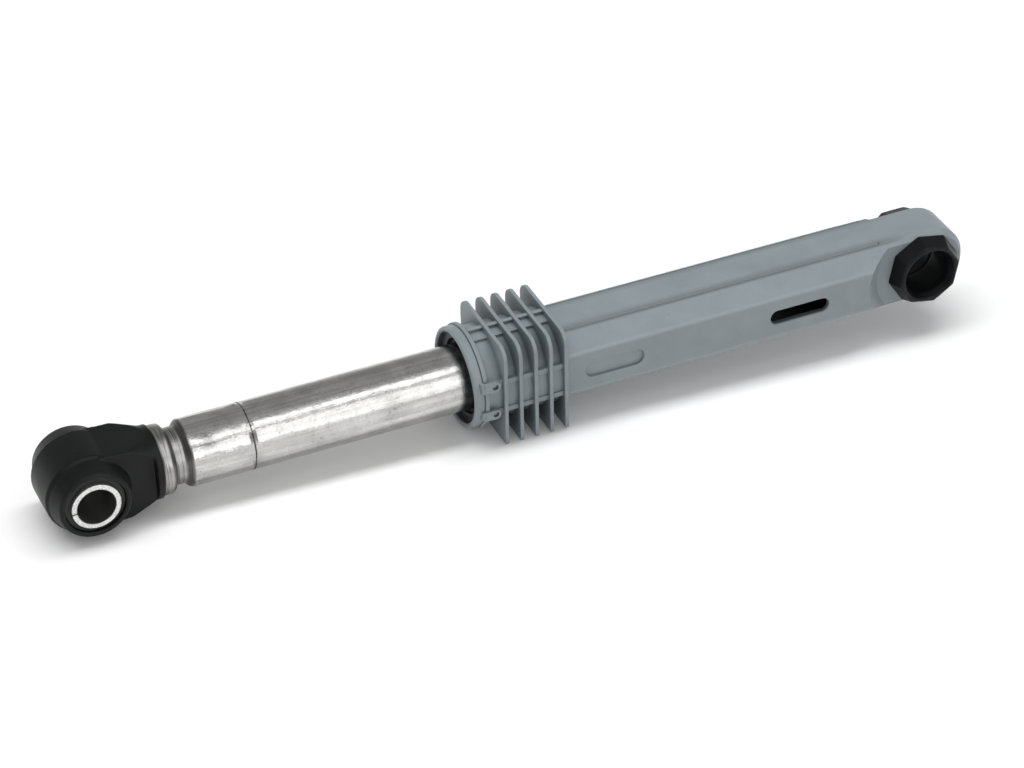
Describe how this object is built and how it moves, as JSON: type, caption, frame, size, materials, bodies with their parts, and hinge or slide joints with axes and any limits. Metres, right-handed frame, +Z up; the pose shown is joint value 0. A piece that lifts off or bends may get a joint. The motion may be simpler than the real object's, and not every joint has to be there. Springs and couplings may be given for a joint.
{
  "type": "washing machine shock absorber",
  "caption": "Friction damper for a washing machine tub: a steel tube with a black rod eye slides in a finned grey plastic cylinder with a bushed eye.",
  "frame": {"origin": "centre of the grey cylinder's eye bore, half-way through its width", "axes": "+X along the damper, from the black rod eye towards the grey cylinder's eye, +Y along both eye bores, +Z up as it lies"},
  "size_m": [0.2638, 0.0288, 0.0298],
  "materials": {
    "grey_plastic": "satin moulded",
    "black_plastic": "satin moulded",
    "dark_plastic": "moulded",
    "liner_foam": "greased open-cell foam",
    "zinc_steel": "zinc plated, drawn",
    "rubber": "matte",
    "bush_steel": "zinc plated"
  },
  "bodies": {
    "cylinder": {"cylinder_body": "grey_plastic", "mouth_cap": "grey_plastic", "eye_bush_front": "black_plastic", "eye_bush_rear": "black_plastic"},
    "liner": {"liner_sleeve": "dark_plastic", "friction_liner": "liner_foam"},
    "rod": {"piston_tube": "zinc_steel", "rod_eye": "black_plastic", "bush_rubber": "rubber", "steel_bush": "bush_steel"}
  },
  "joints": [
    {"name": "rod_twist", "type": "hinge", "parent": "cylinder", "child": "liner", "pos_m": [0, 0, 0], "axis": [1, 0, 0], "continuous": true},
    {"name": "rod_slide", "type": "slide", "parent": "liner", "child": "rod", "axis": [1, 0, 0], "range_m": [-0.021, 0.054]}
  ]
}
